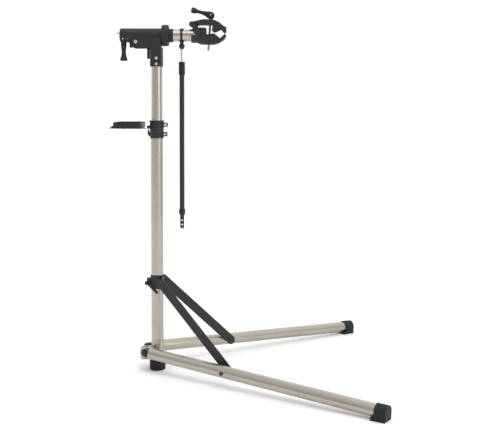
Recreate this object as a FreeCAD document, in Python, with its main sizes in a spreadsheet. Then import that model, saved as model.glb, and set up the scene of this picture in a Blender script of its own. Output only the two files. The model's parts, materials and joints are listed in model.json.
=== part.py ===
import FreeCAD, Part
import math
import os

import Sketcher

"""A folding bike repair stand: two tube legs on a sliding collar, a telescopic mast, a tilting head, a turning arm
with a screw jaw, a tool tray and a handlebar rod. Millimetres, +Z up, +X along the arm, +Y to the left leg.
The origin is on the floor, on the mast's axis."""

V = FreeCAD.Vector
doc = FreeCAD.newDocument("BikeRepairStand")

SIZES = {
    # mast
    "mast_radius": 20.0,
    "mast_bore": 19.0,
    "upper_radius": 18.7,
    "upper_bore": 17.3,
    "mast_top": 788.0,
    "upper_bottom": 250.0,
    "foot_radius": 26.0,
    "foot_height": 38.0,
    # legs and struts, measured from the mast's axis in the plane of each leg
    "leg_angle": 32.0,
    "leg_offset": 47.0,
    "leg_radius": 19.0,
    "leg_wall": 1.5,
    "hinge_back": 12.0,
    "hinge_height": 64.2,
    "leg_reach": 842.0,
    "boot_axis_height": 22.0,
    "boot_width": 44.7,
    "boot_length": 36.0,
    "strut_top_out": 31.4,
    "strut_top_height": 295.5,
    "strut_foot_out": 297.4,
    "strut_width": 30.0,
    "strut_inner": 24.6,
    "strut_thick": 3.0,
    # collars
    "slider_bottom": 272.0,
    "slider_top": 314.0,
    "slider_radius": 22.5,
    "clamp_bottom": 762.5,
    "clamp_top": 793.5,
    "clamp_radius": 22.5,
    "clamp_bolt_out": 27.3,
    "clamp_bolt_height": 775.2,
    "tray_collar_bottom": 794.0,
    "tray_collar_top": 820.0,
    # tray
    "tray_back": 133.0,
    "tray_front": 45.0,
    "tray_half_width": 75.0,
    "tray_bottom": 795.0,
    "tray_top": 815.0,
    "tray_wall": 2.4,
    # head and arm, heights measured from the arm's axis
    "arm_height": 1094.5,
    "arm_radius": 20.0,
    "barrel_radius": 22.9,
    "barrel_bore": 20.3,
    "barrel_front": 17.0,
    "barrel_back": 98.0,
    "cap_back": 117.8,
    "socket_bottom": 100.0,
    "cheek_inner": 23.3,
    "cheek_outer": 26.5,
    "tilt_back": 64.2,
    "tilt_drop": 21.6,
    "latch_back": 20.4,
    "latch_drop": 22.6,
    "lever_pin_back": 106.2,
    "lever_pin_drop": 11.5,
    "ring_radius": 34.6,
    "arm_back": 74.5,
    "arm_front": 150.0,
    # clamp
    "jaw_half_width": 22.0,
    "knuckle_out": 115.0,
    "knuckle_rise": 36.1,
    "cam_pin_out": 175.8,
    "cam_pin_rise": 67.0,
    "screw_tilt": 4.0,
    "screw_radius": 3.9,
    # handlebar rod
    "rod_out": 81.9,
    "rod_radius": 4.25,
    "rod_tube_radius": 8.0,
}


class Dim:
    """A size with its value and the expression that reads it from the sheet."""

    def __init__(self, number, words):
        self.number = float(number)
        self.words = words

    def joined(self, sign, other, result):
        return Dim(result, f"({self.words} {sign} {words_of(other)})")

    def __add__(self, other):
        return self.joined("+", other, self.number + number_of(other))

    def __sub__(self, other):
        return self.joined("-", other, self.number - number_of(other))

    def __mul__(self, other):
        return self.joined("*", other, self.number * number_of(other))

    def __truediv__(self, other):
        return self.joined("/", other, self.number / number_of(other))

    def __neg__(self):
        return self * -1


def number_of(size):
    return size.number if isinstance(size, Dim) else float(size)


def words_of(size):
    return size.words if isinstance(size, Dim) else f"({float(size):.6g})"


def bind(thing, name, size):
    """Sets a property, and ties it to the sheet where its size comes from there."""
    setattr(thing, name, number_of(size))
    if isinstance(size, Dim):
        thing.setExpression(name, size.words)


class Sizes:
    """The driving dimensions, one attribute for each alias of the sheet."""


sheet = doc.addObject("Spreadsheet::Sheet", "Sizes")
size = Sizes()
for row, (alias, number) in enumerate(SIZES.items(), 1):
    sheet.set(f"A{row}", alias)
    sheet.set(f"B{row}", str(number))
    sheet.setAlias(f"B{row}", alias)
    setattr(size, alias, Dim(number, f"Sizes.{alias}"))
doc.recompute()

nodes = {}
PLANES = {"top": "XY_Plane", "side": "XZ_Plane", "end": "YZ_Plane"}


def turned(axis, degrees):
    return FreeCAD.Rotation(axis, degrees)


def circle(x, y, radius):
    """A loop for a sketch: one circle."""
    return ("circle", x, y, radius)


def box(x0, y0, x1, y1, radius=None):
    """A loop for a sketch: a rectangle, with rounded corners if a radius is given."""
    corners = [(x0, y0), (x1, y0), (x1, y1), (x0, y1)]
    return [corner + (radius,) for corner in corners] if radius else corners


def draw_circle(sketch, x, y, radius):
    centre = V(number_of(x), number_of(y), 0)
    ring = sketch.addGeometry(Part.Circle(centre, V(0, 0, 1), number_of(radius)))
    fix(sketch, "Radius", (ring,), radius)
    pin_point(sketch, ring, 3, x, y)


def fix(sketch, kind, where, measure):
    index = sketch.addConstraint(Sketcher.Constraint(kind, *where, number_of(measure)))
    if isinstance(measure, Dim):
        sketch.setExpression(f"Constraints[{index}]", measure.words)


def pin_point(sketch, piece, end, x, y):
    fix(sketch, "DistanceX", (piece, end), x)
    fix(sketch, "DistanceY", (piece, end), y)


def draw_outline(sketch, corners):
    """A closed outline of straight sides. A corner is (x, y), or (x, y, radius) where it is rounded."""
    points = [V(number_of(c[0]), number_of(c[1]), 0) for c in corners]
    total = len(points)
    arrive, leave, bends = [], [], []
    for i, corner in enumerate(corners):
        back = (points[i - 1] - points[i]).normalize()
        ahead = (points[(i + 1) % total] - points[i]).normalize()
        if len(corner) == 2:
            arrive.append(points[i])
            leave.append(points[i])
            bends.append(None)
            continue
        radius = number_of(corner[2])
        half = back.getAngle(ahead) / 2
        arrive.append(points[i] + back * (radius / math.tan(half)))
        leave.append(points[i] + ahead * (radius / math.tan(half)))
        middle = (back + ahead).normalize()
        bends.append((points[i] + middle * (radius / math.sin(half)), back.cross(ahead).z < 0))
    lines = []
    for i in range(total):
        start, end = leave[i], arrive[(i + 1) % total]
        assert (end - start).dot(points[(i + 1) % total] - points[i]) > 0, f"{sketch.Name}: corner {i} is too round"
        lines.append(sketch.addGeometry(Part.LineSegment(start, end)))
    for i, corner in enumerate(corners):
        before, after = lines[i - 1], lines[i]
        if bends[i] is None:
            sketch.addConstraint(Sketcher.Constraint("Coincident", before, 2, after, 1))
            pin_point(sketch, after, 1, corner[0], corner[1])
            continue
        centre, left_turn = bends[i]
        ends = [arrive[i] - centre, leave[i] - centre]
        angles = [math.atan2(end.y, end.x) for end in ends]
        if not left_turn:
            angles.reverse()
        ring = Part.Circle(centre, V(0, 0, 1), number_of(corner[2]))
        bend = sketch.addGeometry(Part.ArcOfCircle(ring, angles[0], angles[1]))
        first, last = (1, 2) if left_turn else (2, 1)
        sketch.addConstraint(Sketcher.Constraint("Tangent", before, 2, bend, first))
        sketch.addConstraint(Sketcher.Constraint("Tangent", bend, last, after, 1))
        fix(sketch, "Radius", (bend,), corner[2])
        tip = sketch.addGeometry(Part.Point(points[i]), True)
        pin_point(sketch, tip, 1, corner[0], corner[1])
        sketch.addConstraint(Sketcher.Constraint("PointOnObject", tip, 1, before))
        sketch.addConstraint(Sketcher.Constraint("PointOnObject", tip, 1, after))


class Piece:
    """One sub-part: a PartDesign body that gains one sketched feature at a time."""

    def __init__(self, label, x=0, y=0, z=0, rotation=None):
        self.body = doc.addObject("PartDesign::Body", label)
        self.body.Label = label
        base = V(number_of(x), number_of(y), number_of(z))
        self.body.Placement = FreeCAD.Placement(base, rotation or FreeCAD.Rotation())
        for axis, place in zip("xyz", (x, y, z)):
            if isinstance(place, Dim):
                self.body.setExpression(f"Placement.Base.{axis}", place.words)
        self.label = label
        self.steps = 0
        nodes[label] = self.body

    def sketch(self, view, loops, lift=0, turn=None):
        """A sketch on a plane of the body's origin, lifted along its normal and turned within it."""
        self.steps += 1
        sketch = self.body.newObject("Sketcher::SketchObject", f"{self.label}_sketch_{self.steps}")
        role = PLANES[view]
        plane = next(p for p in self.body.Origin.OriginFeatures if p.Role == role)
        sketch.AttachmentSupport = [(plane, "")]
        sketch.MapMode = "FlatFace"
        offset = FreeCAD.Placement(V(0, 0, number_of(lift)), turn or FreeCAD.Rotation())
        sketch.AttachmentOffset = offset
        if isinstance(lift, Dim):
            sketch.setExpression("AttachmentOffset.Base.z", lift.words)
        for loop in loops:
            if loop[0] == "circle":
                draw_circle(sketch, *loop[1:])
            else:
                draw_outline(sketch, loop)
        return sketch

    def feature(self, kind, sketch):
        thing = self.body.newObject(f"PartDesign::{kind}", f"{self.label}_{kind.lower()}_{self.steps}")
        thing.Profile = sketch
        return thing

    def pad(self, view, loops, length, lift=0, both=False, back=False, turn=None):
        """Adds the loops' area: to both sides of the plane, along its normal, or back against it."""
        pad = self.feature("Pad", self.sketch(view, loops, lift, turn))
        bind(pad, "Length", length)
        pad.SideType = "Symmetric" if both else "One side"
        pad.Reversed = back
        doc.recompute()
        return self

    def cut(self, view, loops, length, lift=0, both=True, ahead=False, turn=None):
        """Takes the loops' area away: to both sides of the plane, or ahead along its normal, or behind it."""
        before = self.body.Shape.Volume
        pocket = self.feature("Pocket", self.sketch(view, loops, lift, turn))
        bind(pocket, "Length", length)
        pocket.SideType = "Symmetric" if both else "One side"
        pocket.Reversed = ahead
        doc.recompute()
        assert self.body.Shape.Volume < before - 0.01, f"{self.label}: step {self.steps} cuts nothing"
        return self

    def revolve(self, loops, axis):
        """Adds a turned shape: the side view's outline about the body's X or Z axis."""
        self.turned_step("Revolution", loops, axis)
        return self

    def groove(self, loops, axis):
        """Takes a turned shape away."""
        before = self.body.Shape.Volume
        self.turned_step("Groove", loops, axis)
        assert self.body.Shape.Volume < before - 0.01, f"{self.label}: step {self.steps} cuts nothing"
        return self

    def turned_step(self, kind, loops, axis):
        sketch = self.sketch("side", loops)
        thing = self.feature(kind, sketch)
        thing.ReferenceAxis = (sketch, ["H_Axis" if axis == "x" else "V_Axis"])
        thing.Angle = 360
        doc.recompute()

    def dress(self, kind, amount, test):
        """A fillet or chamfer on the edges whose middle point passes the test, in the body's own frame."""
        tip = self.body.Tip
        names = []
        for index, edge in enumerate(tip.Shape.Edges, 1):
            middle = edge.valueAt((edge.FirstParameter + edge.LastParameter) / 2)
            if test(middle, edge):
                names.append(f"Edge{index}")
        assert names, f"{self.label}: no edge to {kind.lower()}"
        self.steps += 1
        thing = self.body.newObject(f"PartDesign::{kind}", f"{self.label}_{kind.lower()}_{self.steps}")
        thing.Base = (tip, names)
        bind(thing, "Radius" if kind == "Fillet" else "Size", amount)
        doc.recompute()
        return self

    def fillet(self, amount, test):
        return self.dress("Fillet", amount, test)

    def chamfer(self, amount, test):
        return self.dress("Chamfer", amount, test)


def tube(label, view, outer, inner, length, lift=0, **place):
    return Piece(label, **place).pad(view, [circle(0, 0, outer), circle(0, 0, inner)], length, lift)


def rod(label, radius, length, place):
    """A plain cylinder along its own +Z."""
    cylinder = doc.addObject("Part::Cylinder", label)
    bind(cylinder, "Radius", radius)
    bind(cylinder, "Height", length)
    cylinder.Placement = place
    return cylinder


def screw(label, head_radius, head_height, shank_radius, shank_length, point, direction, hexagon=True):
    """A cap screw: its head stands out of the point along the direction, its shank goes the other way."""
    upright = FreeCAD.Placement()
    down = FreeCAD.Placement(V(0, 0, -number_of(shank_length)), FreeCAD.Rotation())
    head = rod(f"{label}_head", head_radius, head_height, upright)
    shank = rod(f"{label}_shank", shank_radius, shank_length, down)
    whole = doc.addObject("Part::Fuse", f"{label}_blank")
    whole.Base = head
    whole.Tool = shank
    if hexagon:
        recess = doc.addObject("Part::Prism", f"{label}_recess")
        recess.Polygon = 6
        recess.Circumradius = number_of(head_radius) * 0.55
        recess.Height = number_of(head_height)
        recess.Placement = FreeCAD.Placement(V(0, 0, number_of(head_height) * 0.45), FreeCAD.Rotation())
        socketed = doc.addObject("Part::Cut", label)
        socketed.Base = whole
        socketed.Tool = recess
        whole = socketed
    whole.Placement = FreeCAD.Placement(point, FreeCAD.Rotation(V(0, 0, 1), direction))
    return whole


def group(label, members):
    """Identical or matching fasteners that share a node, as separate solids."""
    compound = doc.addObject("Part::Compound", label)
    compound.Label = label
    compound.Links = members
    nodes[label] = compound


def single(label, member):
    member.Label = label
    nodes[label] = member


LEFT, RIGHT = 1, -1
LEG_ANGLE = number_of(size.leg_angle)


def leg_turn(side):
    return turned(V(0, 0, 1), side * LEG_ANGLE)


def leg_point(side, out, across, height):
    """A point from its distance out along a leg's plane, its distance across from the mast and its height."""
    local = V(number_of(out), side * number_of(across), number_of(height))
    return leg_turn(side).multVec(local)


def side_name(side):
    return "left" if side == LEFT else "right"


# ---------------------------------------------------------------------------------------------- mast


def make_mast():
    tube("mast_lower_tube", "top", size.mast_radius, size.mast_bore, size.mast_top - 6, z=6.0)
    foot = Piece("mast_foot")
    foot.pad("top", [circle(0, 0, size.foot_radius)], size.foot_height)
    foot.cut("top", [circle(0, 0, size.mast_radius)], size.foot_height, 6, both=False, ahead=True)
    foot.chamfer(2.0, lambda middle, edge: middle.z < 0.1 and edge.BoundBox.XLength > 50)
    foot.chamfer(1.5, lambda middle, edge: middle.z > 37.9 and edge.BoundBox.XLength > 50)
    upper_length = size.arm_height - 49 - size.upper_bottom
    tube("mast_upper_tube", "top", size.upper_radius, size.upper_bore, upper_length, z=size.upper_bottom)
    guide = Piece("mast_guide", z=size.upper_bottom)
    guide.pad("top", [circle(0, 0, 18.93), circle(0, 0, 12)], 8, back=True)
    guide.pad("top", [circle(0, 0, size.upper_bore), circle(0, 0, 14)], 14)


def make_height_clamp():
    rise = size.clamp_top - size.clamp_bottom
    collar = Piece("height_clamp_collar", z=size.clamp_bottom)
    collar.pad("top", [circle(0, 0, size.clamp_radius)], rise)
    out, up = size.clamp_bolt_out, size.clamp_bolt_height - size.clamp_bottom
    collar.pad("side", [circle(out, up, 6.9)], 17, both=True)
    collar.pad("top", [box(12, -8.5, 27, 8.5)], 13, 5.5)
    collar.cut("top", [circle(0, 0, size.mast_radius)], rise - 5.5, both=False, ahead=True)
    collar.cut("top", [circle(0, 0, size.mast_bore + 1.6)], 5, rise - 5.5, both=False, ahead=True)
    collar.cut("top", [circle(0, 0, size.mast_bore)], rise * 3)
    collar.cut("top", [box(15, -1, 40, 1)], rise * 3)
    collar.cut("side", [circle(out, up, 3.0)], 60)
    bush = Piece("height_clamp_bush", z=size.mast_top + 0.2)
    bush.pad("top", [circle(0, 0, size.mast_bore + 1.5), circle(0, 0, size.mast_bore)], 4.2)
    bolt_point = V(number_of(out), -8.5, number_of(size.clamp_bolt_height))
    bolt = screw("height_clamp_shank", 3.9, 3.4, 3.0, 20.5, bolt_point, V(0, -1, 0))
    eye = rod("height_clamp_eye", 4.6, 6.6, FreeCAD.Placement(V(27.3, 15.5, 771.9), FreeCAD.Rotation()))
    whole = doc.addObject("Part::Fuse", "height_clamp_bolt")
    whole.Base = bolt
    whole.Tool = eye
    bored = doc.addObject("Part::Cut", "height_clamp_bolt_bored")
    bored.Base = whole
    bored.Tool = rod("height_clamp_eye_bore", 2.5, 12, FreeCAD.Placement(V(27.3, 15.5, 769), FreeCAD.Rotation()))
    single("height_clamp_bolt", bored)
    single("height_lever_pin", rod("height_lever_pin", 2.45, 15.6, FreeCAD.Placement(V(27.3, 15.5, 767.4), FreeCAD.Rotation())))


def make_height_lever():
    """A band that wraps the far side of the collar, from its pivot at the front to its tip behind."""
    lever = Piece("height_clamp_lever", z=768.4)
    band = [circle(0, 0, 26.9), circle(0, 0, 23.1)]
    lever.pad("top", band, 14)
    lever.pad("top", [box(-30.5, 2, -25.5, 11, 2)], 17, 4)
    lever.pad("top", [circle(27.3, 15.5, 6.0)], 13.6)
    lever.cut("top", [[(-40, 3.5), (-24.5, 3.5), (-20, 0), (15, 0), (15, 9.65), (40, 9.65), (40, -40), (-40, -40)]], 60)
    lever.cut("top", [circle(27.3, 15.5, 6.6)], 7.4, 3.2, both=False, ahead=True)
    lever.cut("top", [circle(27.3, 15.5, 2.5)], 60)


# ---------------------------------------------------------------------------------------------- base and legs


def make_base_bracket():
    """A casting round the mast: a hub, a cheek beside each leg's knuckle and a strap behind them."""
    bracket = Piece("base_bracket")
    bracket.pad("top", [circle(0, 0, 24.0)], 26, 38)
    for side in (LEFT, RIGHT):
        near, far = sorted((side * 14, side * 27.6))
        bracket.pad("top", [box(-20, near, 9, far)], 27, 47, turn=leg_turn(side))
    nose = [(-20, -16), (-33, -12, 3), (-44, -16, 5), (-56.5, -9, 8), (-56.5, 9, 8), (-44, 16, 5), (-33, 12, 3)]
    bracket.pad("top", [nose + [(-20, 16)]], 38, 35)
    bracket.cut("side", [[(-80, 30), (-49, 30), (-56.5, 42), (-80, 42)]], 80)
    bracket.cut("side", [[(-80, 67), (-56.5, 67), (-49, 76), (-80, 76)]], 80)
    bracket.cut("top", [box(-51.5, -8, -29, 8, 6)], 100, 60)
    bracket.cut("top", [circle(0, 0, size.mast_radius)], 200, 60)
    bracket.cut("top", [circle(0, 0, size.foot_radius + 0.5)], size.foot_height + 0.3, both=False, ahead=True)
    pins = []
    for side in (LEFT, RIGHT):
        outward = leg_point(side, 0, 1, 0)
        point = leg_point(side, -size.hinge_back, 57.4, size.hinge_height)
        pins.append(screw(f"leg_pivot_{side_name(side)}", 7.5, 2.4, 5.0, 35.0, point, outward))
    group("leg_pivot_pins", pins)


def leg_slope():
    fall = number_of(size.hinge_height) - number_of(size.boot_axis_height)
    run = number_of(size.leg_reach) + number_of(size.hinge_back)
    return math.degrees(math.atan2(fall, run))


def make_leg(side):
    """A tube with a knuckle at the hinge and a boot at the floor, in a frame that lies along the tube."""
    name = side_name(side)
    slope = math.radians(leg_slope())
    reach = (number_of(size.leg_reach) + number_of(size.hinge_back)) / math.cos(slope)
    hinge = leg_point(side, -size.hinge_back, size.leg_offset, size.hinge_height)
    lie = leg_turn(side).multiply(turned(V(0, 1, 0), math.degrees(slope)))
    place = {"x": hinge.x, "y": hinge.y, "z": hinge.z, "rotation": lie}
    bolt_out = (number_of(size.strut_foot_out) + number_of(size.hinge_back)) / math.cos(slope)

    start = 21.0
    leg = tube(f"leg_tube_{name}", "end", size.leg_radius, size.leg_radius - size.leg_wall, reach - 5 - start, start, **place)
    leg.cut("side", [circle(bolt_out, 0, 3.1)], 60)

    knuckle = Piece(f"leg_knuckle_{name}", **place)
    knuckle.pad("side", [circle(0, 0, 12.0)], 20, both=True)
    knuckle.pad("side", [box(0, -12, start, 12)], 20, both=True)
    knuckle.pad("end", [circle(0, 0, size.leg_radius - size.leg_wall)], 30, start)
    knuckle.pad("side", [circle(0, 0, 8.5)], 18.8, both=False, back=(side == RIGHT))
    knuckle.cut("side", [circle(0, 0, 5.06)], 80)

    boot = Piece(f"leg_boot_{name}", **place)
    half = size.boot_width / 2
    boot_start = reach - number_of(size.boot_length)
    boot.pad("end", [circle(0, 0, half)], size.boot_length, boot_start)
    boot.pad("end", [box(-half, -30, half, 0)], size.boot_length, boot_start)
    boot.pad("end", [box(-half, -30, half, -15)], 9, boot_start - 9)
    boot.cut("end", [circle(0, 0, size.leg_radius)], 60, reach - 5, both=False)
    rise = number_of(size.hinge_height)
    floor = [(x, (x * math.sin(slope) - rise) / math.cos(slope)) for x in (boot_start - 20, reach + 10)]
    boot.cut("side", [[(floor[0][0], -60), (floor[1][0], -60), floor[1], floor[0]]], 80)

    bolt = leg_point(side, size.strut_foot_out, 66.2, number_of(size.hinge_height) - bolt_out * math.sin(slope))
    outward = leg_point(side, 0, 1, 0)
    head = screw(f"leg_strut_bolt_{name}", 6.0, 3.2, 3.0, 38.2, bolt, outward)
    single(f"leg_strut_bolt_{name}", head)


def make_strut(side):
    """A flat bar beside the leg, from the slider's wing to the leg's bolt, round at its top end."""
    name = side_name(side)
    slope = math.radians(leg_slope())
    run = number_of(size.strut_foot_out) - number_of(size.strut_top_out)
    foot_height = number_of(size.hinge_height) - (number_of(size.strut_foot_out) + number_of(size.hinge_back)) * math.tan(slope)
    fall = number_of(size.strut_top_height) - foot_height
    length = math.hypot(run, fall)
    start = leg_point(side, size.strut_top_out, 0, size.strut_top_height)
    lie = leg_turn(side).multiply(turned(V(0, 1, 0), math.degrees(math.atan2(fall, run))))
    strut = Piece(f"strut_{name}", x=start.x, y=start.y, z=start.z, rotation=lie)
    half = size.strut_width / 2
    tilt = math.atan2(fall, run)
    cos, sin = math.cos(tilt), math.sin(tilt)
    back, rise = -14.8, number_of(size.slider_top) - number_of(size.strut_top_height) - 8
    heel = (back + 15.0 * sin) / cos
    crown = (back * cos - rise * sin, back * sin + rise * cos)
    shoulder = (15.0 * cos - rise) / sin
    bar = [(heel, -half, 3), (length + 15.2, -half, 14.6), (length + 15.2, half, 14.6), (shoulder, half, 2), (*crown, 3)]
    lift = size.strut_inner if side == RIGHT else -size.strut_inner
    strut.pad("side", [bar], size.strut_thick, lift, back=(side == LEFT))
    strut.cut("side", [circle(0, 0, 4.06)], 120)
    strut.pad("side", [circle(length, 0, 6.5)], 1.8, lift, back=(side == RIGHT))


# ---------------------------------------------------------------------------------------------- slider


def make_slider():
    rise = size.slider_top - size.slider_bottom
    collar = Piece("slider_collar", z=size.slider_bottom)
    collar.pad("top", [circle(0, 0, size.slider_radius)], rise)
    for side in (LEFT, RIGHT):
        near, far = sorted((side * 20.8, side * 24.2))
        collar.pad("top", [box(6, near, 24, far)], rise, turn=leg_turn(side))
        collar.pad("top", [box(6, near, 43, far)], rise - 11, turn=leg_turn(side))
    collar.pad("top", [box(16.5, -37.5, 20, 37.5)], rise - 8, 4)
    collar.pad("top", [box(-34, -10, -18, 10, 4)], 21, 10)
    collar.cut("top", [circle(0, 0, size.mast_radius + 0.3)], 200)
    collar.cut("top", [box(-40, -1, -15, 1)], 200)
    collar.cut("side", [circle(-28, 21, 2.5)], 60)
    bolt_point = V(-28, 10, 293)
    single("slider_clamp_bolt", screw("slider_clamp_bolt", 4.5, 2.5, 2.5, 21.0, bolt_point, V(0, 1, 0)))
    pins = []
    for side in (LEFT, RIGHT):
        outward = leg_point(side, 0, 1, 0)
        point = leg_point(side, size.strut_top_out, 19.4, size.strut_top_height)
        pins.append(screw(f"strut_pivot_{side_name(side)}", 4.0, 8.2, 6.5, 2.0, point, outward, False))
    group("strut_pivot_pins", pins)


LEVER_YAW = -21.8
LEVER_BACK = 25.9
LEVER_HEIGHT = 288.0
LEVER_FALL = 38.3


def make_slider_lever():
    """A flat bar beside the collar that falls forward from its pin behind it."""
    yaw = turned(V(0, 0, 1), LEVER_YAW)
    pivot = yaw.multVec(V(-LEVER_BACK, 0, LEVER_HEIGHT))
    lie = yaw.multiply(turned(V(0, 1, 0), LEVER_FALL))
    lever = Piece("slider_clamp_lever", x=pivot.x, y=pivot.y, z=pivot.z, rotation=lie)
    lever.pad("side", [circle(0, 0, 7.0)], 3.4, 22.8)
    lever.pad("side", [[(-2, -3.6), (51, -3.6, 3.4), (51, 3.6, 3.4), (-2, 3.6)]], 2.8, 22.8)
    lever.cut("side", [circle(0, 0, 2.07)], 120)
    outward = yaw.multVec(V(0, -1, 0))
    head = pivot + outward * 26.4
    single("slider_lever_pin", screw("slider_lever_pin", 3.2, 1.6, 2.0, 10.5, head, outward, False))


# ---------------------------------------------------------------------------------------------- tray


def make_tray():
    rise = size.tray_collar_top - size.tray_collar_bottom
    collar = Piece("tray_collar", z=size.tray_collar_bottom)
    collar.pad("top", [circle(0, 0, 22.8)], rise)
    collar.pad("top", [circle(0, 0, 24.0)], 4, rise - 4)
    collar.pad("side", [circle(28.6, 12, 7.9)], 17, both=True)
    collar.pad("top", [box(12, -8.5, 28, 8.5)], 14, 5)
    collar.pad("top", [box(-31, -13, -12, 13, 3)], 8.5, 1)
    collar.cut("top", [circle(0, 0, size.upper_radius + 0.06)], 200)
    collar.cut("top", [box(15, -1, 42, 1)], 200)
    collar.cut("side", [circle(28.6, 12, 3.0)], 60)
    bolt_point = V(28.6, -8.5, 806)
    single("tray_collar_bolt", screw("tray_collar_bolt", 5.0, 3.6, 3.0, 18, bolt_point, V(0, -1, 0)))

    arm = Piece("tray_arm", z=size.tray_bottom - 2.4)
    arm.pad("top", [box(-118, -14, -23.2, 14, 4)], 2.4)
    arm.cut("top", [circle(-60, 0, 2.0), circle(-105, 0, 2.0)], 40)

    back, front, half = size.tray_back, size.tray_front, size.tray_half_width
    tray = Piece("tool_tray", z=size.tray_bottom)
    tray.pad("top", [box(-back, -half, -front, half, 12)], size.tray_top - size.tray_bottom)
    wall = size.tray_wall
    foot = number_of(back)
    tray.pad("side", [[(-foot - 14, 0), (-foot + 2, 0), (-foot + 2, 9), (-foot - 1, 9)]], half * 2 - 26, both=True)
    lip = box(-back + wall, -half + wall, -front - wall, half - wall, 9.6)
    tray.cut("top", [lip], 40, wall, both=False, ahead=True)
    tray.cut("top", [circle(-60, 0, 2.0), circle(-105, 0, 2.0)], 40)
    screws = []
    for number, out in enumerate((-60.0, -105.0)):
        point = V(out, 0, number_of(size.tray_bottom) + number_of(wall))
        screws.append(screw(f"tray_screw_{number}", 4.0, 1.8, 2.0, 7.0, point, V(0, 0, 1)))
    group("tray_screws", screws)


# ---------------------------------------------------------------------------------------------- head


def make_head_bracket():
    """A socket on the mast and two cheeks that hold the barrel between them."""
    outer = size.cheek_outer
    bracket = Piece("head_bracket", z=size.arm_height)
    bracket.pad("top", [box(-19.4, -outer, 19.7, outer, 7)], size.socket_bottom - 40.5, -size.socket_bottom)
    cheek = [(-76.7, -41, 7), (15.8, -41), (15.8, -5.1, 2), (-76.7, -5.1, 3)]
    bracket.pad("side", [cheek], outer * 2, both=True)
    bracket.cut("side", [[(-90, -60), (-19.4, -60), (-19.4, -40), (-12.5, -36), (-12.5, 0), (-90, 0)]], size.cheek_inner * 2)
    bracket.cut("side", [box(-30, -23.2, 30, 0)], size.cheek_inner * 2)
    bracket.cut("top", [circle(0, 0, size.upper_radius + 0.02)], 60, -49, both=False)
    for back, drop, radius in ((size.tilt_back, size.tilt_drop, 4.0), (size.latch_back, size.latch_drop, 3.5)):
        bracket.cut("side", [circle(-back, -drop, radius)], 80)
    joints = (
        ("head_pivot_bolts", size.tilt_back, size.tilt_drop, 5.6, 4.0, 12.5),
        ("head_latch_bolts", size.latch_back, size.latch_drop, 5.0, 3.5, 9.7),
    )
    for label, back, drop, head_radius, shank_radius, shank in joints:
        pair = []
        for side in (LEFT, RIGHT):
            height = number_of(size.arm_height) - number_of(drop)
            point = V(-number_of(back), side * number_of(outer), height)
            pair.append(screw(f"{label}_{side_name(side)}", head_radius, 3.0, shank_radius, shank, point, V(0, side, 0)))
        group(label, pair)
    pair = []
    for index, height in enumerate((1020.4, 1001.9)):
        point = V(1.6, -number_of(outer), height)
        pair.append(screw(f"socket_screw_{index}", 4.6, 3.0, 2.5, 7.5, point, V(0, -1, 0)))
        drop = height - number_of(size.arm_height)
        bracket.cut("side", [circle(1.6, drop, 2.5)], 12, 19.0, both=False, ahead=True)
    group("head_socket_bolts", pair)


def make_head_barrel():
    bore, outer = size.barrel_bore, size.barrel_radius
    front, back = size.barrel_front, size.barrel_back
    barrel = Piece("head_barrel", z=size.arm_height)
    nose = front + 19
    shell = [(-back, 0), (-back, outer), (front, outer), (front, outer - 1.2), (nose, outer - 1.2), (nose, 0)]
    barrel.revolve([shell], "x")
    barrel.pad("side", [circle(-size.tilt_back, -size.tilt_drop, 8.5)], 45.4, both=True)
    lug = [(-97, -18), (-79.2, -18), (-79.2, -39.4, 1), (-85.8, -39.4, 2), (-85.8, -25, 4), (-93, -19.5)]
    barrel.pad("side", [lug], 24, both=True)
    barrel.cut("end", [circle(0, 0, bore)], 400)
    pivot = circle(-size.tilt_back, -size.tilt_drop, 4.07)
    barrel.cut("side", [pivot], 14, 13.5, both=False, ahead=True)
    barrel.cut("side", [pivot], 14, -13.5, both=False)
    barrel.cut("side", [box(-99, -30, -94.6, -9)], 13.4)

    pin_back, pin_drop = size.lever_pin_back, size.lever_pin_drop
    cap = Piece("rear_end_cap", z=size.arm_height)
    end = size.cap_back
    profile = [(-end, 0), (-end, outer, 5), (-back, outer), (-back, bore - 0.1), (-back + 1.2, bore - 0.1), (-back + 1.2, 0)]
    cap.revolve([profile], "x")
    cap.cut("side", [box(-130, -30, -90, 0)], 13.4)
    cap.cut("end", [circle(0, 7.5, 1.58)], 300)
    cap.cut("end", [circle(0, 0, 17.0)], 8, -95.1, both=False)
    cap.cut("side", [circle(-pin_back, -pin_drop, 2.5)], 46)
    height = number_of(size.arm_height) - number_of(pin_drop)
    place = FreeCAD.Placement(V(-number_of(pin_back), 20.8, height), turned(V(1, 0, 0), 90))
    single("rear_lever_pin", rod("rear_lever_pin", 2.45, 41.6, place))

    shoe = Piece("arm_brake_shoe", z=size.arm_height)
    shoe.pad("end", [circle(0, 0, size.barrel_bore - 0.35)], 19.2, -94.5)
    stub = FreeCAD.Placement(V(-130, 0, number_of(size.arm_height) + 7.5), turned(V(0, 1, 0), 90))
    shoe.cut("end", [circle(0, 7.5, 1.5)], 12.5, -94.5, both=False, ahead=True)
    single("release_rod", rod("release_rod", 1.5, 48, stub))


def make_latch_lever():
    """A trigger under the barrel, with an ear on each latch bolt."""
    lever = Piece("head_latch_lever", z=size.arm_height)
    back, drop = size.latch_back, size.latch_drop
    lever.pad("side", [circle(-back, -drop, 5.6)], 44.8, both=True)
    lever.pad("side", [[(-27.5, -22), (-20, -24), (-22.6, -43.5), (-30, -43.5)]], 44.8, both=True)
    lever.cut("side", [circle(-back, -drop, 9)], 33.6)
    lever.cut("side", [box(-45, -33.5, 0, 0)], 33.6)
    lever.pad("side", [[(-22.6, -40), (-22.6, -75.5, 3), (-30, -75.5, 3), (-30, -40)]], 14, both=True)
    lever.cut("side", [circle(-back, -drop, 3.57)], 80)


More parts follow.
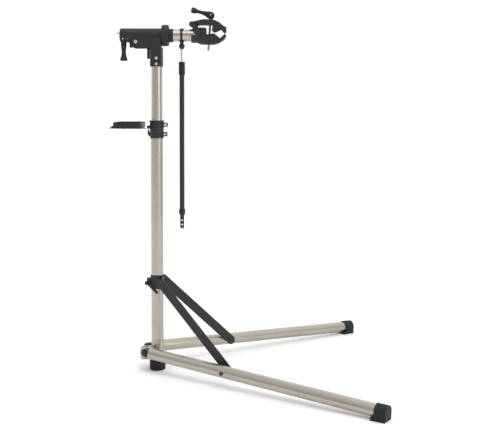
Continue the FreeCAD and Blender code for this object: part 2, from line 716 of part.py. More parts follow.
def make_rear_lever():
    """A turned handle on a flat cam head, hanging from its pin."""
    lever = Piece("rear_cam_lever", x=-size.lever_pin_back, z=size.arm_height - size.lever_pin_drop)
    handle = [(0, -15.5), (7.5, -15.5), (9.2, -19, 2), (6.3, -39, 40), (12, -64, 8), (11.6, -70.5, 3), (0, -70.5)]
    lever.revolve([handle], "z")
    lever.pad("side", [circle(1.5, 0, 9.5)], 12.4, both=True)
    lever.pad("side", [[(-9.3, -2), (9.3, -2), (8.6, -18), (-8.6, -18)]], 12.4, both=True)
    lever.cut("side", [circle(0, 0, 2.55)], 60)


def make_arm():
    ring = Piece("rotation_lock_ring", z=size.arm_height)
    start, end = size.barrel_front + 0.3, size.barrel_front + 23
    outer = size.ring_radius
    profile = [(start, size.barrel_radius - 0.9), (start, outer - 2.5), (start + 2.5, outer), (end - 2.5, outer)]
    profile += [(end, outer - 2.5), (end, size.barrel_bore), (end - 3.2, size.barrel_bore)]
    profile += [(end - 3.2, size.barrel_radius - 0.9)]
    ring.revolve([profile], "x")

    arm_length = size.arm_back + size.arm_front
    tube("arm_tube", "end", size.arm_radius, size.arm_radius - 1.6, arm_length, -size.arm_back, z=size.arm_height)

    sleeve = Piece("arm_sleeve", z=size.arm_height)
    bore = size.arm_radius
    profile = [(40.4, bore), (40.4, 21.8), (45, 21.8), (45.4, 21.0), (46.8, 21.0), (47.2, 21.8), (55, 21.8), (55, bore)]
    sleeve.revolve([profile], "x")


# ---------------------------------------------------------------------------------------------- clamp


def screw_frame():
    """The frame of the jaw screw: its origin on the cam pin, its +Z up the screw."""
    place = V(number_of(size.cam_pin_out), 0, number_of(size.arm_height) + number_of(size.cam_pin_rise))
    return FreeCAD.Placement(place, turned(V(0, 1, 0), number_of(size.screw_tilt)))


def make_clamp():
    wide = size.jaw_half_width * 2
    knuckle = (size.knuckle_out, size.knuckle_rise)
    body = Piece("clamp_body", z=size.arm_height)
    body.pad("end", [circle(0, 0, 23.8)], 24, 113.5)
    body.cut("side", [[(100, 0.5), (128.7, 0.5), (112, 25.2), (112, 40), (100, 40)]], 80)
    floor = [(134.5, -24.5, 3), (141, -27.8, 10), (157, -28.8), (187, -28.8, 25), (201, -25, 25), (218.5, -13.5, 12)]
    front = [(226.3, -1), (221.8, 4.6, 1), (219.3, 3), (221, 1.2), (205.9, -12.6, 1.5), (187.2, 2.6), (189, 4.5)]
    throat = [(183.5, 7.2, 3.5), (177, 3.6, 2), (161.4, 3.6, 2), (161.4, 24, 2), (136, 25), (134.5, 28.5)]
    body.pad("side", [floor + front + throat], wide, both=True)
    ear = [(115, 27.6), (128.7, 0.5), (140, 0.5), (140, 24.8), (136, 25), (134.5, 28.5), (122, 42)]
    body.pad("side", [ear], 40, both=True)
    body.pad("side", [circle(*knuckle, 8.5)], 40, both=True)
    body.cut("side", [[(100, 20.6), (133.4, 20.6), (133.4, 29.5), (133.4, 60), (100, 60)]], 24.6)
    body.cut("end", [circle(0, 0, size.arm_radius)], size.arm_front - 100, 100, both=False, ahead=True)
    body.cut("side", [circle(*knuckle, 3.0)], 80)
    nut_place = screw_frame().multVec(V(0, 0, -81.5))
    nut_rise = nut_place.z - number_of(size.arm_height)
    body.cut("side", [circle(nut_place.x, nut_rise, 7.6)], 30)
    tilt = turned(V(0, 1, 0), number_of(size.screw_tilt))
    axis_out = nut_place.x - nut_rise * math.tan(math.radians(number_of(size.screw_tilt)))
    body.cut("top", [circle(axis_out, 0, 4.7)], 90, turn=tilt)

    nut = Piece("jaw_barrel_nut", x=nut_place.x, z=nut_place.z)
    nut.pad("side", [circle(0, 0, 7.5)], 28, both=True)
    nut.cut("top", [circle(0, 0, size.screw_radius + 0.06)], 40, turn=tilt)

    height = number_of(size.arm_height) + number_of(size.knuckle_rise)
    place = FreeCAD.Placement(V(number_of(size.knuckle_out), 20, height), turned(V(1, 0, 0), 90))
    single("knuckle_pin", rod("knuckle_pin", 3.0, 40, place))

    pad = Piece("lower_jaw_pad", z=size.arm_height)
    pad.pad("side", [[(187.2, 2.6), (205.9, -12.6, 1.5), (221, 1.2), (219.3, 3), (206, -9.1), (189, 4.5)]], wide, both=True)


def make_upper_jaw():
    wide = size.jaw_half_width * 2
    knuckle = (size.knuckle_out, size.knuckle_rise)
    jaw = Piece("upper_jaw", z=size.arm_height)
    underside = [(181.4, 33.5, 2), (181.4, 20.0, 1), (178, 17.2, 2), (184, 11.2, 5), (192, 11.2), (190.9, 14.5)]
    mouth = [(208.9, 23.1, 1), (221.6, 9.9), (219.5, 8.2), (220.9, 6.9, 0.6), (226, 11.5, 2), (226, 27.5, 2)]
    back = [(218.5, 29.0, 2), (204, 42, 20), (183, 51, 25), (151, 51, 30)]
    jaw.pad("side", [[(137, 33.5)] + underside + mouth + back + [(129, 46.4)]], wide, both=True)
    tongue = [(121, 29.5), (145, 33.5), (145, 48), (129, 46.4), (113, 44.6)]
    jaw.pad("side", [tongue], 24, both=True)
    jaw.pad("side", [circle(*knuckle, 9.0)], 24, both=True)
    jaw.cut("side", [circle(*knuckle, 3.07)], 80)
    jaw.cut("side", [[(164, 20), (184.5, 27), (198, 56), (164, 56)]], 10)
    jaw.cut("side", [[(158, 46.2), (187, 46.2), (208, 41.4), (208, 70), (158, 70)]], 24.6)
    pad = Piece("upper_jaw_pad", z=size.arm_height)
    pad.pad("side", [[(190.9, 14.5), (192, 11.2), (208.6, 19.5), (219.5, 8.2), (221.6, 9.9), (208.9, 23.1, 1)]], wide, both=True)


def make_jaw_screw():
    frame = screw_frame()
    tilt = frame.Rotation
    place = {"x": frame.Base.x, "z": frame.Base.z, "rotation": tilt}
    washer = Piece("jaw_washer", **place)
    washer.pad("top", [circle(0, 0, 10.5), circle(0, 0, size.screw_radius + 0.35)], 2.4, -16.5, back=True)

    jaw_screw = Piece("jaw_screw", **place)
    jaw_screw.pad("side", [circle(0, 0, 6.0)], 7.6, both=True)
    jaw_screw.pad("top", [circle(0, 0, size.screw_radius)], 111.7, -4, back=True)
    jaw_screw.cut("side", [circle(0, 0, 2.5)], 40)
    pin_place = FreeCAD.Placement(frame.multVec(V(0, 9.2, 0)), turned(V(1, 0, 0), 90))
    single("jaw_lever_pin", rod("jaw_lever_pin", 2.45, 18.4, pin_place))

    handle_lie = turned(V(0, 1, 0), -166)
    lever = Piece("jaw_cam_lever", x=frame.Base.x, z=frame.Base.z, rotation=handle_lie)
    neck = [(9, 0), (9, 9.0), (24, 6.8, 12), (34, 5.6, 12), (45, 6.4, 6), (52.5, 10.4, 5), (62.5, 9.9, 3), (65.2, 7.5, 1), (65.2, 0)]
    lever.revolve([neck], "x")
    lever.pad("side", [circle(0.6, 2.4, 13.0)], 17.6, both=True)
    lever.cut("side", [box(-20, -20, 6.7, 20)], 8.6)
    lever.cut("side", [circle(0, 0, 2.55)], 60)


# ---------------------------------------------------------------------------------------------- handlebar rod


def make_handlebar_rod():
    out = size.rod_out
    strap = Piece("stabiliser_strap", x=out, z=size.arm_height)
    strap.pad("end", [circle(0, 0, 23.2), circle(0, 0, size.arm_radius + 0.35)], 12.4, both=True)
    for low, high in ((-8, -3.6), (3.6, 8)):
        strap.cut("side", [box(low, -18, high, 17.5)], 60)
    bulb = [(0, -21.2), (5.4, -21.2), (5.4, -26, 5), (9.5, -31, 4), (9.5, -35, 7), (5.6, -43.5), (0, -43.5)]
    strap.revolve([bulb], "z")
    strap.cut("top", [circle(0, 0, size.rod_radius)], 30, -30, both=False)
    single_place = FreeCAD.Placement(V(number_of(out), 0, 560), FreeCAD.Rotation())
    single("stabiliser_rod", rod("stabiliser_rod", size.rod_radius, size.arm_height - 30 - 560, single_place))

    outer = Piece("stabiliser_tube", x=out, z=532.0)
    bore = size.rod_radius + 0.35
    outer.pad("top", [circle(0, 0, size.rod_tube_radius), circle(0, 0, bore)], 434.7)
    outer.pad("top", [circle(0, 0, 6.4), circle(0, 0, bore)], 18, 434.7)

    twist = Piece("stabiliser_twist_grip", x=out, z=967.0)
    twist.revolve([[(6.75, 0), (10.2, 0, 1), (10.2, 43, 2), (bore, 43), (bore, 18.4), (6.75, 18.4)]], "z")

    end = Piece("stabiliser_end", x=out)
    end.revolve([[(0, 503), (6.75, 503), (6.75, 511, 2), (10.25, 515, 2), (10.25, 530, 2), (8.2, 532), (0, 532)]], "z")
    strip = [(-6.25, 466.6, 1), (-2.5, 466.6, 1), (0, 470.5), (2.5, 466.6, 1), (6.25, 466.6, 1), (6.25, 505), (-6.25, 505)]
    end.pad("side", [strip], 5, both=True)
    for height in (493.5, 479.7):
        end.cut("side", [circle(0, height, 2.7)], 40)


make_mast()
make_height_clamp()
make_height_lever()
make_base_bracket()
for leg_side in (LEFT, RIGHT):
    make_leg(leg_side)
    make_strut(leg_side)
make_slider()
make_slider_lever()
make_tray()
make_head_bracket()
make_head_barrel()
make_latch_lever()
make_rear_lever()
make_arm()
make_clamp()
make_upper_jaw()
make_jaw_screw()
make_handlebar_rod()

doc.recompute()
faults = [f"{thing.Name}: {thing.State}" for thing in doc.Objects if {"Invalid", "Error"} & set(thing.State)]
for label, node in nodes.items():
    if node.Shape.isNull() or not node.Shape.isValid():
        faults.append(f"{label}: null or invalid shape")
if faults:
    raise RuntimeError("\n".join(faults))

os.makedirs("parts", exist_ok=True)
for label, node in nodes.items():
    node.Shape.exportStep(f"parts/{label}.step")
    print(f"{label}: {len(node.Shape.Solids)} solid(s), {node.Shape.Volume / 1000:.2f} cm3")
print(len(nodes), "nodes")
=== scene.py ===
import json
import math

import bmesh
import bpy
from mathutils import Matrix, Vector


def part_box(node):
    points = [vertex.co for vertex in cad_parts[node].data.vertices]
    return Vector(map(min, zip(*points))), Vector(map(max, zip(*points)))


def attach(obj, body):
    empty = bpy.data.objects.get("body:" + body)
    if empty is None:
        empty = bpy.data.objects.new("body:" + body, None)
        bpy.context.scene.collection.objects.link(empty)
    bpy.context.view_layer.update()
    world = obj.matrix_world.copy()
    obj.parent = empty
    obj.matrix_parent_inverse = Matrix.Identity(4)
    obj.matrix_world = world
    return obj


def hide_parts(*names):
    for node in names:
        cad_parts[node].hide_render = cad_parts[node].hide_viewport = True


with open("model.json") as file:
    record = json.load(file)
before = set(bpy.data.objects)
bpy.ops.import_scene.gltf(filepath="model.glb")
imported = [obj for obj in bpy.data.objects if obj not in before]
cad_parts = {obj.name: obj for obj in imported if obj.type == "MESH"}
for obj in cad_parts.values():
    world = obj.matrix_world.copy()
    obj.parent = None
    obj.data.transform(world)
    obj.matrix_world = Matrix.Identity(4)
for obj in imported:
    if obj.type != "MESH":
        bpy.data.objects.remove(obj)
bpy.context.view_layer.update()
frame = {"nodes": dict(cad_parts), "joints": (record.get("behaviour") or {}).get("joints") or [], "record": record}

NODES = frame["nodes"]
MM = 0.001

# ---------------------------------------------------------------------------------------------- materials


class Finish:
    """A node material: fine grain for bump, slow blotches of colour and gloss, and worn edges."""

    def __init__(self, name, colour, roughness, metallic=0.0):
        self.material = bpy.data.materials.new(name)
        self.material.use_nodes = True
        self.tree = self.material.node_tree
        self.shader = self.tree.nodes["Principled BSDF"]
        self.shader.inputs["Metallic"].default_value = metallic
        self.roughness = roughness
        self.colour = colour
        self.place = self.node("ShaderNodeTexCoord").outputs["Object"]
        self.base = None

    def node(self, kind, **settings):
        made = self.tree.nodes.new(kind)
        for key, value in settings.items():
            setattr(made, key, value)
        return made

    def link(self, source, target):
        self.tree.links.new(source, target)

    def noise(self, size, detail):
        noise = self.node("ShaderNodeTexNoise")
        noise.inputs["Scale"].default_value = 1.0 / size
        noise.inputs["Detail"].default_value = detail
        noise.inputs["Roughness"].default_value = 0.5
        self.link(self.place, noise.inputs["Vector"])
        return noise.outputs["Fac"]

    def mapped(self, source, low, high, start=0.3, end=0.7):
        ramp = self.node("ShaderNodeMapRange")
        ramp.inputs["From Min"].default_value = start
        ramp.inputs["From Max"].default_value = end
        ramp.inputs["To Min"].default_value = low
        ramp.inputs["To Max"].default_value = high
        self.link(source, ramp.inputs["Value"])
        return ramp.outputs["Result"]

    def mixed(self, share, first, second):
        mix = self.node("ShaderNodeMix", data_type="RGBA")
        self.link(share, mix.inputs["Factor"])
        for socket, colour in ((mix.inputs["A"], first), (mix.inputs["B"], second)):
            if isinstance(colour, bpy.types.NodeSocket):
                self.link(colour, socket)
            else:
                socket.default_value = (*colour, 1.0)
        return mix.outputs["Result"]

    def blotch(self, size, spread, gloss_spread):
        """Slow changes of colour and gloss over the surface."""
        blotch = self.noise(size, 4.0)
        dark = [c * (1 - spread) for c in self.colour]
        light = [min(1.0, c * (1 + spread)) for c in self.colour]
        self.base = self.mixed(self.mapped(blotch, 0, 1), dark, light)
        self.link(self.base, self.shader.inputs["Base Color"])
        dull, shiny = self.roughness + gloss_spread, self.roughness - gloss_spread
        gloss = self.mapped(self.noise(size * 0.35, 5.0), shiny, dull)
        self.link(gloss, self.shader.inputs["Roughness"])
        return self

    def grain(self, size, depth):
        """A fine surface texture, its size and depth in metres."""
        bump = self.node("ShaderNodeBump")
        bump.inputs["Strength"].default_value = 0.6
        bump.inputs["Distance"].default_value = depth
        self.link(self.noise(size, 2.0), bump.inputs["Height"])
        self.link(bump.outputs["Normal"], self.shader.inputs["Normal"])
        return self

    def worn(self, colour, reach, amount):
        """Edges that rubbed lighter, found where a rounded normal leaves the true one."""
        bevel = self.node("ShaderNodeBevel", samples=4)
        bevel.inputs["Radius"].default_value = reach
        geometry = self.node("ShaderNodeNewGeometry")
        dot = self.node("ShaderNodeVectorMath", operation="DOT_PRODUCT")
        self.link(bevel.outputs["Normal"], dot.inputs[0])
        self.link(geometry.outputs["Normal"], dot.inputs[1])
        edge = self.mapped(dot.outputs["Value"], amount, 0.0, 0.80, 0.985)
        patch = self.mapped(self.noise(0.006, 4.0), 0.0, 1.0, 0.4, 0.65)
        share = self.node("ShaderNodeMath", operation="MULTIPLY")
        self.link(edge, share.inputs[0])
        self.link(patch, share.inputs[1])
        self.base = self.mixed(share.outputs["Value"], self.base, colour)
        self.link(self.base, self.shader.inputs["Base Color"])
        return self


def anodised(name, colour, roughness):
    finish = Finish(name, colour, roughness, 1.0).blotch(0.12, 0.05, 0.05)
    return finish.grain(0.0005, 0.00003).material


def powder_coat(name, colour, roughness):
    finish = Finish(name, colour, roughness).blotch(0.03, 0.10, 0.06).grain(0.0009, 0.00012)
    finish.shader.inputs["Specular IOR Level"].default_value = 0.35
    return finish.worn((0.12, 0.12, 0.12), 0.0012, 0.35).material


def moulded(name, colour, roughness, depth=0.0001):
    finish = Finish(name, colour, roughness).blotch(0.02, 0.14, 0.07).grain(0.0006, depth)
    finish.shader.inputs["Specular IOR Level"].default_value = 0.3
    return finish.worn((0.09, 0.09, 0.09), 0.0009, 0.25).material


def steel(name, colour, roughness):
    finish = Finish(name, colour, roughness, 1.0).blotch(0.008, 0.08, 0.08)
    return finish.grain(0.0004, 0.00003).material


MATERIALS = {
    "anodised_beige": anodised("anodised_beige", (0.425, 0.40, 0.34), 0.30),
    "brushed_tube": anodised("brushed_tube", (0.45, 0.43, 0.375), 0.28),
    "black_plastic": moulded("black_plastic", (0.018, 0.018, 0.018), 0.50),
    "grip_black": moulded("grip_black", (0.015, 0.015, 0.016), 0.44, 0.00016),
    "black_paint": powder_coat("black_paint", (0.019, 0.018, 0.018), 0.46),
    "tray_plastic": moulded("tray_plastic", (0.015, 0.015, 0.016), 0.48, 0.00014),
    "base_silver": powder_coat("base_silver", (0.44, 0.44, 0.42), 0.40),
    "rubber": moulded("rubber", (0.014, 0.014, 0.014), 0.66, 0.0002),
    "bolt_steel": steel("bolt_steel", (0.66, 0.66, 0.67), 0.28),
    "screw_steel": steel("screw_steel", (0.30, 0.30, 0.31), 0.36),
    "dark_bolt": steel("dark_bolt", (0.07, 0.07, 0.075), 0.34),
}
SLOT_OF = {entry["node"]: entry["material_slot"] for entry in frame["record"]["subparts"]}

# ---------------------------------------------------------------------------------------------- CAD nodes


def dress(obj, slot):
    obj.data.materials.clear()
    obj.data.materials.append(MATERIALS[slot])


def soften(obj, width):
    """Rounds the hard edges of a CAD node without changing its own mesh."""
    weld = obj.modifiers.new("weld", "WELD")
    weld.merge_threshold = 0.00001
    flat = obj.modifiers.new("flat", "DECIMATE")
    flat.decimate_type = "DISSOLVE"
    flat.angle_limit = math.radians(0.6)
    bevel = obj.modifiers.new("bevel", "BEVEL")
    bevel.width = width
    bevel.segments = 2
    bevel.limit_method = "ANGLE"
    bevel.angle_limit = math.radians(32)
    bevel.use_clamp_overlap = True
    normals = obj.modifiers.new("normals", "WEIGHTED_NORMAL")
    normals.weight = 80
    for polygon in obj.data.polygons:
        polygon.use_smooth = True


# widths of the rounded edges, in millimetres
FINE_EDGE = 0.35
EDGE = {
    "mast_foot": 1.2, "base_bracket": 1.0, "clamp_body": 1.3, "upper_jaw": 1.3, "head_bracket": 1.2,
    "head_barrel": 0.6, "rotation_lock_ring": 1.2, "slider_collar": 0.6, "tool_tray": 0.6,
    "rear_end_cap": 0.8, "head_latch_lever": 0.8, "height_clamp_lever": 0.9, "slider_clamp_lever": 0.8,
    "stabiliser_end": 0.7, "stabiliser_strap": 0.7,
}
for side in ("right", "left"):
    EDGE[f"leg_boot_{side}"] = 2.2
    EDGE[f"leg_knuckle_{side}"] = 1.2
    EDGE[f"strut_{side}"] = 0.8
    EDGE[f"leg_strut_bolt_{side}"] = 1.2
for node_name, node in NODES.items():
    dress(node, SLOT_OF[node_name])
    soften(node, EDGE.get(node_name, FINE_EDGE) * MM)

# ---------------------------------------------------------------------------------------------- mesh helpers


def new_piece(name, mesh_maker, slot, body, replaces=()):
    mesh = bpy.data.meshes.new(name)
    shape = bmesh.new()
    mesh_maker(shape)
    bmesh.ops.recalc_face_normals(shape, faces=shape.faces)
    shape.to_mesh(mesh)
    shape.free()
    piece = bpy.data.objects.new(name, mesh)
    bpy.context.scene.collection.objects.link(piece)
    for polygon in mesh.polygons:
        polygon.use_smooth = True
    mesh.materials.append(MATERIALS[slot])
    if replaces:
        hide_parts(*replaces)
    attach(piece, body)
    return piece


def skin_rings(shape, rings, closed=False):
    """Joins rings of points into a skin, and back to the first ring if it is closed."""
    made = [[shape.verts.new(point) for point in ring] for ring in rings]
    count = len(made[0])
    for low, high in zip(made, made[1:] + made[:1] if closed else made[1:]):
        for i in range(count):
            shape.faces.new((low[i], low[(i + 1) % count], high[(i + 1) % count], high[i]))
    return made


def tube_of_rings(shape, rings):
    """Joins rings of points into a skin, and closes its two ends."""
    made = skin_rings(shape, rings)
    shape.faces.new(list(reversed(made[0])))
    shape.faces.new(made[-1])


def turns(count):
    """The angles of a ring's points."""
    return [2 * math.pi * i / count for i in range(count)]


def ellipse_ring(matrix, along, half_y, half_z, lift, power):
    """A section across local X: an ellipse, squarer as the power grows. Sizes in millimetres."""
    ring = []
    for angle in turns(40):
        c, s = math.cos(angle), math.sin(angle)
        y = half_y * math.copysign(abs(c) ** (2 / power), c)
        z = half_z * math.copysign(abs(s) ** (2 / power), s) + lift
        ring.append(matrix @ (Vector((along, y, z)) * MM))
    return ring


def smooth_profile(keys, steps=6):
    """Catmull-Rom through rows of numbers, so that a few sections give a flowing shape."""
    rows = []
    for i in range(len(keys) - 1):
        before, start = keys[max(i - 1, 0)], keys[i]
        end, after = keys[i + 1], keys[min(i + 2, len(keys) - 1)]
        for step in range(steps):
            t = step / steps
            row = []
            for p, a, b, q in zip(before, start, end, after):
                row.append(0.5 * (2 * a + (b - p) * t + (2 * p - 5 * a + 4 * b - q) * t * t
                                  + (3 * a - p - 3 * b + q) * t ** 3))
            rows.append(row)
    rows.append(list(keys[-1]))
    return rows


def cutter_of(shape):
    """A throwaway object that holds the shape."""
    mesh = bpy.data.meshes.new("cutter")
    shape.to_mesh(mesh)
    shape.free()
    cutter = bpy.data.objects.new("cutter", mesh)
    bpy.context.scene.collection.objects.link(cutter)
    return cutter


def box_cutter(matrix, low, high):
    shape = bmesh.new()
    bmesh.ops.create_cube(shape, size=1.0)
    middle = [(a + b) / 2 for a, b in zip(low, high)]
    for vert in shape.verts:
        vert.co = matrix @ (Vector([m + c * (b - a) for m, c, a, b in zip(middle, vert.co, low, high)]) * MM)
    return cutter_of(shape)


def rod_cutter(matrix, radius, half):
    """A cylinder along local Y."""
    shape = bmesh.new()
    bmesh.ops.create_cone(shape, cap_ends=True, segments=40, radius1=radius * MM, radius2=radius * MM,
                          depth=2 * half * MM, matrix=matrix @ Matrix.Rotation(math.pi / 2, 4, "X"))
    return cutter_of(shape)


def carve(piece, cutters):
    """Cuts the cutters out of a piece for good, and deletes them."""
    for cutter in cutters:
        modifier = piece.modifiers.new("carve", "BOOLEAN")
        modifier.object = cutter
        modifier.operation = "DIFFERENCE"
        modifier.solver = "EXACT"
    bpy.context.view_layer.update()
    result = bpy.data.meshes.new_from_object(piece.evaluated_get(bpy.context.evaluated_depsgraph_get()))
    piece.modifiers.clear()
    piece.data = result
    for cutter in cutters:
        bpy.data.objects.remove(cutter)
    for polygon in result.polygons:
        polygon.use_smooth = True


def crisp(piece, width):
    bevel = piece.modifiers.new("bevel", "BEVEL")
    bevel.width = width * MM
    bevel.segments = 2
    bevel.limit_method = "ANGLE"
    bevel.angle_limit = math.radians(35)
    piece.modifiers.new("normals", "WEIGHTED_NORMAL").weight = 80


def joint(name):
    return next(j for j in frame["joints"] if j["name"] == name)


# ---------------------------------------------------------------------------------------------- levers


def make_lever(name, node, body, pivot, turn, sections, slot_box, bore):
    """A grip lofted along local X from its cam head to its knob, with a fork or a flat head on the pin."""
    matrix = Matrix.Translation(pivot) @ Matrix.Rotation(math.radians(turn), 4, "Y")
    rows = smooth_profile(sections)

    def skin(shape):
        tube_of_rings(shape, [ellipse_ring(matrix, *row) for row in rows])

    piece = new_piece(name, skin, "grip_black", body, (node,))
    cutters = [rod_cutter(matrix, bore, half=30)]
    if slot_box:
        cutters.append(box_cutter(matrix, *slot_box))
    carve(piece, cutters)
    crisp(piece, FINE_EDGE)


LEVER_BORE = 2.6
jaw_pin = Vector(joint("jaw_lever_swing")["pos_m"])
# along, half width, half height, lift, squareness
JAW_LEVER = [
    (-12.35, 6.4, 2.6, 2.4, 2.4), (-11.6, 8.2, 5.6, 2.4, 2.6), (-8.5, 8.8, 9.6, 2.4, 3.0),
    (-3, 8.8, 12.2, 2.4, 3.0), (2, 8.8, 12.6, 2.2, 2.9), (8, 8.7, 11.2, 1.6, 2.6), (15, 8.0, 8.6, 0.9, 2.3),
    (24, 7.0, 6.8, 0.3, 2.0), (34, 5.8, 5.6, 0.0, 2.0), (42, 5.9, 5.7, 0.0, 2.0), (48, 7.4, 7.2, 0.0, 2.0),
    (54, 9.6, 9.4, 0.0, 2.0), (60.5, 9.7, 9.5, 0.0, 2.0), (64.3, 7.6, 7.5, 0.0, 2.0),
    (65.2, 3.2, 3.1, 0.0, 2.0),
]
JAW_LEVER_SLOT = ((-20, -4.3, -20), (6.7, 4.3, 20))
make_lever("jaw_cam_handle", "jaw_cam_lever", "jaw_lever", jaw_pin, -166, JAW_LEVER, JAW_LEVER_SLOT,
           LEVER_BORE)

rear_pin = Vector(joint("rear_lever_swing")["pos_m"])
REAR_LEVER = [
    (-9.2, 4.8, 2.4, 1.4, 2.6), (-8.2, 6.0, 5.0, 1.4, 3.0), (-4, 6.2, 8.3, 1.2, 3.4), (2, 6.2, 9.3, 0.8, 3.4),
    (9, 6.2, 9.1, 0.2, 3.2), (15, 6.4, 9.2, 0.0, 2.6), (19, 7.8, 9.2, 0.0, 2.2), (26, 7.6, 8.6, 0.0, 2.0),
    (39, 7.0, 7.2, 0.0, 2.0), (48, 7.4, 7.6, 0.0, 2.0), (57, 9.0, 9.2, 0.0, 2.0), (63, 11.4, 11.6, 0.0, 2.1),
    (67.5, 11.7, 11.8, 0.0, 2.2), (70.2, 9.6, 9.8, 0.0, 2.1), (70.5, 5.0, 5.2, 0.0, 2.0),
]
make_lever("rear_cam_handle", "rear_cam_lever", "rear_lever", rear_pin, 90, REAR_LEVER, None, LEVER_BORE)

# ---------------------------------------------------------------------------------------------- jaw screw


def screw_matrix():
    """The frame of the jaw screw, with its eye at the origin and its shank along -Z."""
    turn = joint("jaw_screw_turn")
    tilt = Vector((0, 0, 1)).rotation_difference(Vector(turn["axis"])).to_matrix().to_4x4()
    return Matrix.Translation(Vector(turn["pos_m"])) @ tilt


def threaded_shank(shape):
    """The screw below its eye: a plain neck, then a rolled thread with a chamfered end."""
    matrix = screw_matrix()
    pitch, count, crest, root = 1.75, 28, 3.86, 3.15
    neck_radius, tip_radius, tip_length = 3.8, 2.4, 0.55
    start, end = -14.0, -115.1
    slices_per_pitch = 4

    def point(radius, angle, height):
        return matrix @ (Vector((radius * math.cos(angle), radius * math.sin(angle), height)) * MM)

    rings = [[point(neck_radius, angle, height) for angle in turns(count)] for height in (-4.4, -9.0, -13.2)]
    steps = int((start - end) / (pitch / slices_per_pitch))
    for step in range(steps + 1):
        height = start + (end - start) * step / steps
        fade = min(1.0, step / 6, (steps - step) / 5 + 0.2)
        ring = []
        for i, angle in enumerate(turns(count)):
            phase = (height / pitch + i / count) % 1.0
            depth = abs(phase - 0.5) * 2
            ring.append(point(crest - (crest - root) * depth * fade, angle, height))
        rings.append(ring)
    rings.append([point(tip_radius, angle, end - tip_length) for angle in turns(count)])
    tube_of_rings(shape, rings)


def screw_eye(shape):
    """The ring at the screw's top, round the lever's pin: a section turned about local Y."""
    matrix = screw_matrix()
    section = [(2.9, 3.7), (5.2, 3.7), (5.9, 3.1), (5.9, -3.1), (5.2, -3.7), (2.9, -3.7)]
    rings = [[matrix @ (Vector((radius * math.cos(a), across, radius * math.sin(a))) * MM) for a in turns(36)]
             for radius, across in section]
    skin_rings(shape, rings, closed=True)


new_piece("jaw_screw_thread", threaded_shank, "screw_steel", "jaw_screw", ("jaw_screw",))
new_piece("jaw_screw_eye", screw_eye, "screw_steel", "jaw_screw")

# ---------------------------------------------------------------------------------------------- twist grip


def twist_grip(shape):
    """The sleeve of the rod's twist lock, with flutes for the fingers and a stepped bore."""
    low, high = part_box("stabiliser_twist_grip")
    centre = (low + high) / 2
    radius = (high.x - low.x) / 2 / MM
    bottom = low.z / MM
    count, flutes, flute_depth = 160, 20, 0.75
    bore_low, bore_high, bore_step = 6.75, 4.6, 18.4
    # height, change of radius, share of the flutes' depth
    profile = [(0.0, -1.3, 0.0), (0.9, -0.35, 0.0), (2.2, 0.0, 0.0), (4.5, 0.0, 0.0), (6.0, 0.0, 1.0),
               (30.0, 0.0, 1.0), (31.5, 0.0, 0.0), (33.5, 0.0, 0.0), (34.0, -0.9, 0.0), (35.4, -0.9, 0.0),
               (35.9, 0.0, 0.0), (41.0, 0.0, 0.0), (42.4, -0.5, 0.0), (43.0, -1.8, 0.0)]
    top = profile[-1][0]

    def point(r, angle, height):
        return Vector((centre.x + r * MM * math.cos(angle), centre.y + r * MM * math.sin(angle),
                       (bottom + height) * MM))

    rings = []
    for height, inset, depth in profile:
        ring = []
        for angle in turns(count):
            flute = flute_depth * depth * max(0.0, math.cos(flutes * angle)) ** 1.5
            ring.append(point(radius + inset - flute, angle, height))
        rings.append(ring)
    for height, r in ((top, bore_high), (bore_step, bore_high), (bore_step, bore_low), (0.0, bore_low)):
        rings.append([point(r, angle, height) for angle in turns(count)])
    skin_rings(shape, rings, closed=True)


sleeve = new_piece("twist_grip_sleeve", twist_grip, "grip_black", "stabiliser_twist",
                   ("stabiliser_twist_grip",))
sleeve.data.set_sharp_from_angle(angle=math.radians(40))

# ---------------------------------------------------------------------------------------------- stage


def pale_floor():
    """A wide pale floor, just under the feet so that the two surfaces don't meet."""
    mesh = bpy.data.meshes.new("floor")
    shape = bmesh.new()
    for corner in ((-30, -12, 0), (30, -12, 0), (30, 50, 0), (-30, 50, 0)):
        shape.verts.new(corner)
    shape.faces.new(shape.verts)
    shape.to_mesh(mesh)
    shape.free()
    floor = bpy.data.objects.new("floor", mesh)
    floor.location.z = -0.0004
    bpy.context.scene.collection.objects.link(floor)
    finish = Finish("pale_floor", (0.93, 0.93, 0.925), 0.8).blotch(0.5, 0.01, 0.05)
    mesh.materials.append(finish.material)


pale_floor()


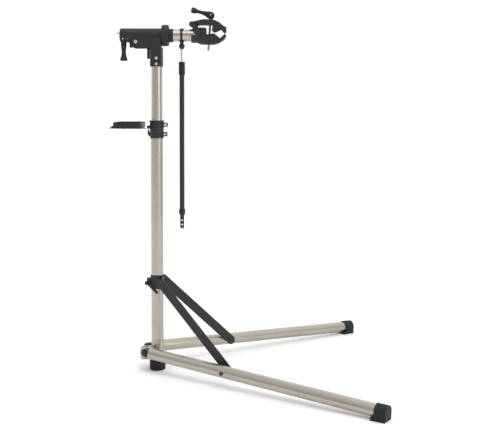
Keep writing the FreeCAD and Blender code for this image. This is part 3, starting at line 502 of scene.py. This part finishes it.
def studio_world():
    """A white studio, brighter towards +Y, +X and +Z than in front of the stand."""
    world = bpy.data.worlds.new("studio")
    bpy.context.scene.world = world
    world.use_nodes = True
    nodes, links = world.node_tree.nodes, world.node_tree.links
    parts = nodes.new("ShaderNodeSeparateXYZ")
    links.new(nodes.new("ShaderNodeTexCoord").outputs["Generated"], parts.inputs["Vector"])
    total = None
    # axis, where the ramp starts and ends, and its strength at each end
    ramps = (("Y", -0.6, 0.7, 0.58, 1.05), ("X", -0.2, 1.0, 0.0, 0.18), ("Z", 0.1, 0.9, 0.0, 0.20))
    for axis, start, end, low, high in ramps:
        ramp = nodes.new("ShaderNodeMapRange")
        ramp.interpolation_type = "SMOOTHSTEP"
        for socket, value in (("From Min", start), ("From Max", end), ("To Min", low), ("To Max", high)):
            ramp.inputs[socket].default_value = value
        links.new(parts.outputs[axis], ramp.inputs["Value"])
        if total is None:
            total = ramp.outputs["Result"]
        else:
            add = nodes.new("ShaderNodeMath")
            links.new(total, add.inputs[0])
            links.new(ramp.outputs["Result"], add.inputs[1])
            total = add.outputs["Value"]
    links.new(total, nodes["Background"].inputs["Strength"])
    nodes["Background"].inputs["Color"].default_value = (1.0, 1.0, 1.0, 1.0)


studio_world()


def lamp(name, kind, place, target, power, size):
    data = bpy.data.lights.new(name, kind)
    data.energy = power
    if kind == "SUN":
        data.angle = size
    else:
        data.shape = "RECTANGLE"
        data.size, data.size_y = size
    obj = bpy.data.objects.new(name, data)
    obj.location = place
    obj.rotation_euler = (Vector(target) - Vector(place)).to_track_quat("-Z", "Y").to_euler()
    bpy.context.scene.collection.objects.link(obj)


lamp("sky_light", "SUN", (0.5, -1.5, 3.0), (0, 0, 0), 0.75, math.radians(26))
lamp("key", "AREA", (2.2, -1.6, 1.6), (0.1, 0, 0.6), 12, (0.6, 2.0))
lamp("rim", "AREA", (-2.2, 1.0, 1.6), (0.1, 0, 0.6), 8, (0.6, 1.8))


def front_camera():
    """The camera in front of the stand, about three quarters of the way up it, tipped slightly down."""
    pitch, yaw, roll = math.radians(-3.345), math.radians(-0.074), math.radians(0.152)
    data = bpy.data.cameras.new("camera")
    camera = bpy.data.objects.new("camera", data)
    bpy.context.scene.collection.objects.link(camera)
    data.sensor_width = 36
    data.lens = 64.37
    data.shift_y = -0.12
    data.clip_start, data.clip_end = 0.05, 60
    camera.location = (0.3105, -2.9211, 0.8797)
    camera.matrix_world = (Matrix.Translation(camera.location) @ Matrix.Rotation(-yaw, 4, "Z")
                           @ Matrix.Rotation(math.pi / 2 + pitch, 4, "X") @ Matrix.Rotation(roll, 4, "Z"))
    bpy.context.scene.camera = camera


front_camera()
bpy.context.scene.view_settings.view_transform = "Standard"
